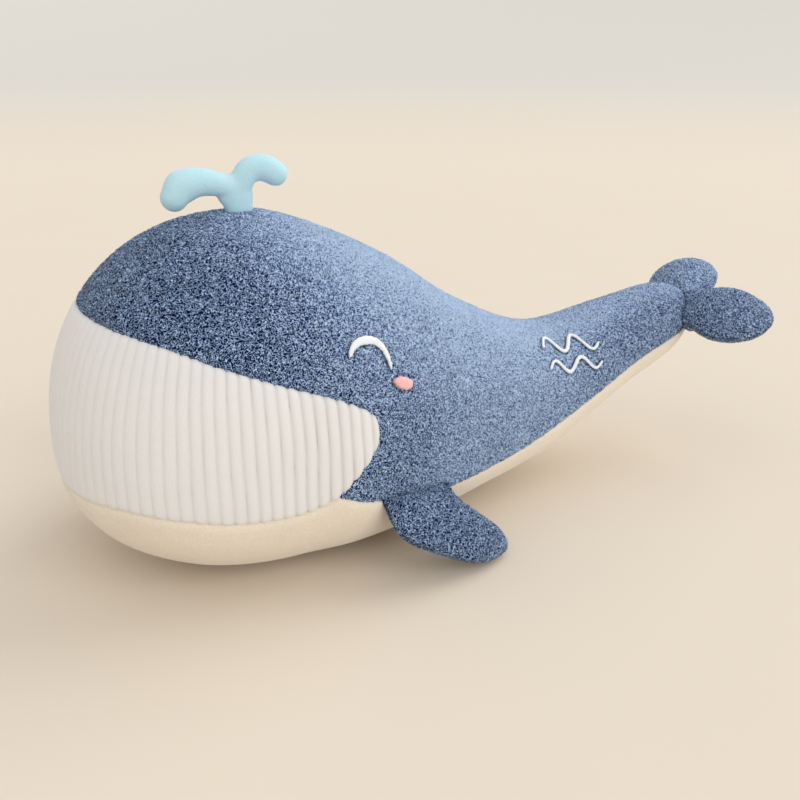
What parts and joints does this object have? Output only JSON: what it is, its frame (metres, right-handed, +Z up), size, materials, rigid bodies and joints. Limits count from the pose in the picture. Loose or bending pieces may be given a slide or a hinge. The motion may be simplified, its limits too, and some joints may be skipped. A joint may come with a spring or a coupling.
{
  "type": "plush whale",
  "caption": "Large stuffed whale cushion of boucle cloth with a ribbed mouth panel, cream belly, side fins, tail flukes and a soft water spout.",
  "frame": {"origin": "centre of the flat resting patch under the belly, on the surface it lies on", "axes": "+X toward the tail, +Y toward the whale's right side, +Z up"},
  "size_m": [0.8697, 0.403, 0.3964],
  "materials": {
    "blue_boucle": "short curly pile in light and dark blue",
    "ribbed_cloth": "off-white rib knit, matt",
    "cream_plush": "smooth short pile, warm cream",
    "aqua_velour": "smooth velour, pale aqua",
    "white_thread": "satin stitch, slight sheen",
    "pink_thread": "satin stitch, slight sheen",
    "fibre_fill": "loose polyester fibre"
  },
  "bodies": {
    "body": {"back_panel_left": "blue_boucle", "back_panel_right": "blue_boucle", "mouth_panel": "ribbed_cloth", "belly_panel": "cream_plush", "head_stuffing": "fibre_fill", "tail_stuffing": "fibre_fill", "eye_stitch_left": "white_thread", "eye_stitch_right": "white_thread", "cheek_patch_left": "pink_thread", "cheek_patch_right": "pink_thread", "wave_stitch_upper": "white_thread", "wave_stitch_lower": "white_thread"},
    "fin_left": {"fin_left_top_panel": "blue_boucle", "fin_left_bottom_panel": "blue_boucle", "fin_left_stuffing": "fibre_fill"},
    "fin_right": {"fin_right_top_panel": "blue_boucle", "fin_right_bottom_panel": "blue_boucle", "fin_right_stuffing": "fibre_fill"},
    "fluke_left": {"fluke_left_top_panel": "blue_boucle", "fluke_left_bottom_panel": "blue_boucle", "fluke_left_stuffing": "fibre_fill"},
    "fluke_right": {"fluke_right_top_panel": "blue_boucle", "fluke_right_bottom_panel": "blue_boucle", "fluke_right_stuffing": "fibre_fill"},
    "spout": {"spout_left_panel": "aqua_velour", "spout_right_panel": "aqua_velour", "spout_stuffing": "fibre_fill"}
  },
  "joints": [
    {"name": "fin_left_root", "type": "hinge", "parent": "body", "child": "fin_left", "pos_m": [0.05218, -0.15563, 0.07429], "axis": [-0.9314, -0.3261, 0.1617], "range_deg": [-15, 45], "stiffness_Nm_per_rad": 0.6},
    {"name": "fin_right_root", "type": "hinge", "parent": "body", "child": "fin_right", "pos_m": [0.05218, 0.15563, 0.07429], "axis": [0.9314, -0.3261, -0.1617], "range_deg": [-15, 45], "stiffness_Nm_per_rad": 0.6},
    {"name": "fluke_left_root", "type": "hinge", "parent": "body", "child": "fluke_left", "pos_m": [0.50039, -0.03385, 0.177], "axis": [-0.6429, -0.6274, -0.4394], "range_deg": [-25, 25], "stiffness_Nm_per_rad": 0.8},
    {"name": "fluke_right_root", "type": "hinge", "parent": "body", "child": "fluke_right", "pos_m": [0.51157, 0.01956, 0.18693], "axis": [0.3711, -0.9141, 0.1634], "range_deg": [-25, 25], "stiffness_Nm_per_rad": 0.8},
    {"name": "spout_root", "type": "hinge", "parent": "body", "child": "spout", "pos_m": [-0.0685, 0, 0.34639], "axis": [1, 0, 0], "range_deg": [-35, 35], "stiffness_Nm_per_rad": 0.3}
  ]
}
